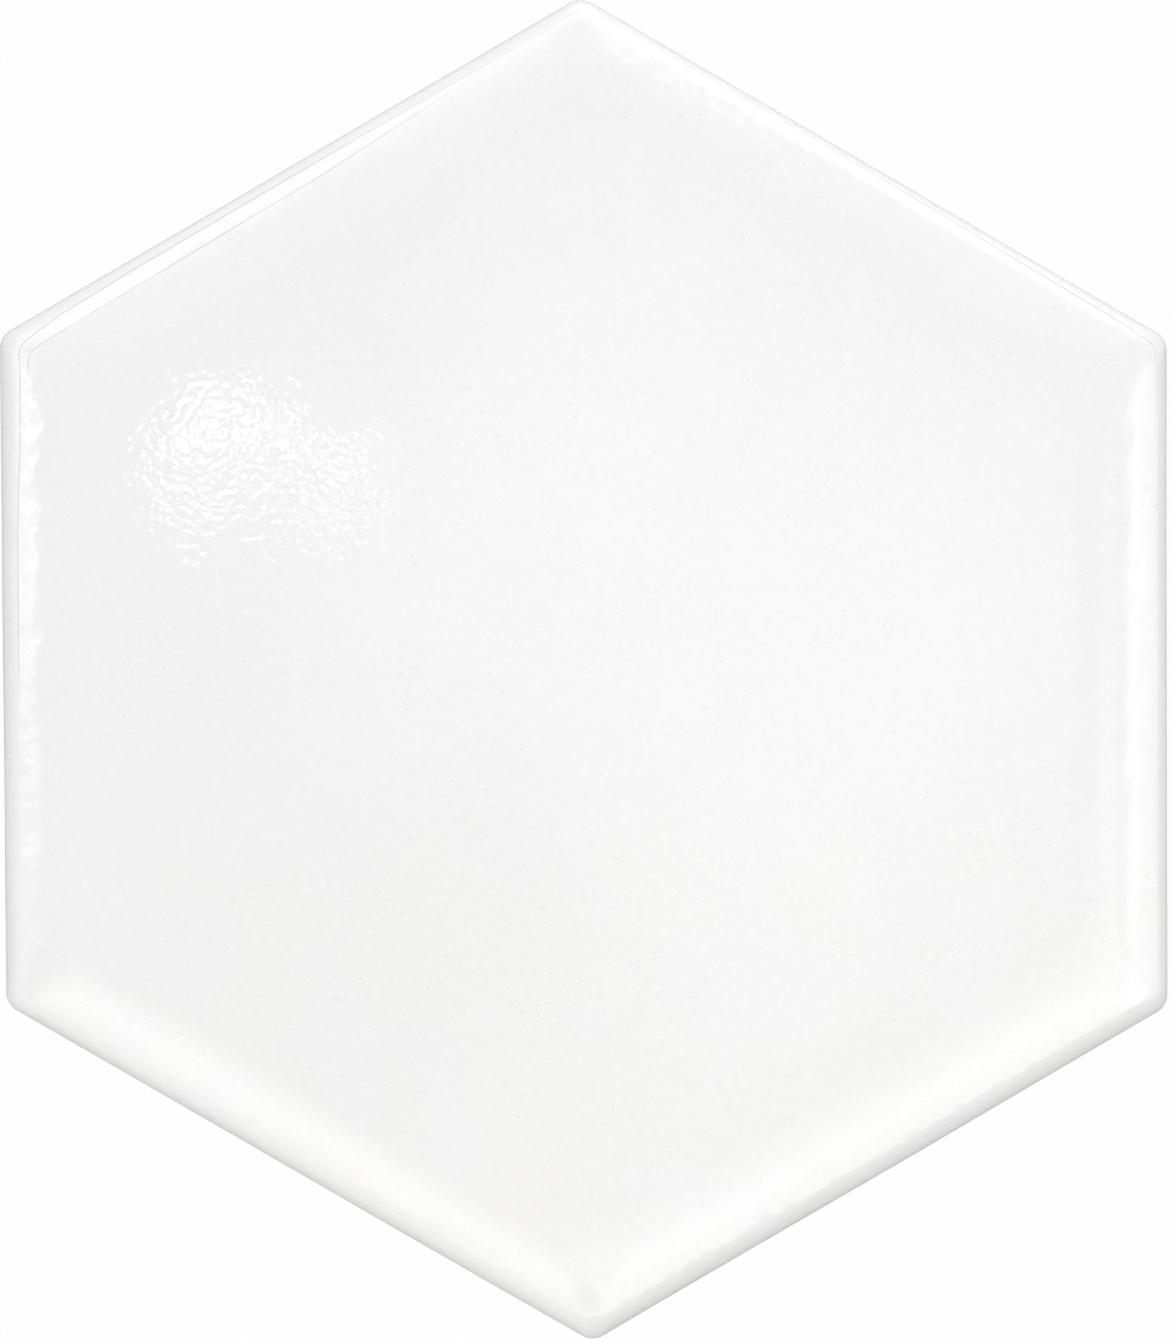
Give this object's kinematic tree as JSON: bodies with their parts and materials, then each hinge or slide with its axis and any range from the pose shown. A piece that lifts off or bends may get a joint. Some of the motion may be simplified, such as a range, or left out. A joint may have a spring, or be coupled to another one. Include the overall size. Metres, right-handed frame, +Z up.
{
  "type": "hexagon floor tile",
  "caption": "Hexagonal glazed ceramic floor tile, plain glossy white, with soft rolled and cushioned edges and a back keyed for adhesive.",
  "frame": {"origin": "centre of the back, where the tile rests on its bed", "axes": "+Z up, out of the glazed face; +Y from the centre towards a corner; +X square to a side, through the middle of its wall"},
  "size_m": [0.15, 0.1724, 0.009],
  "materials": {
    "glaze": "gloss"
  },
  "bodies": {
    "root": {"hexagon_tile": "glaze"}
  },
  "joints": []
}
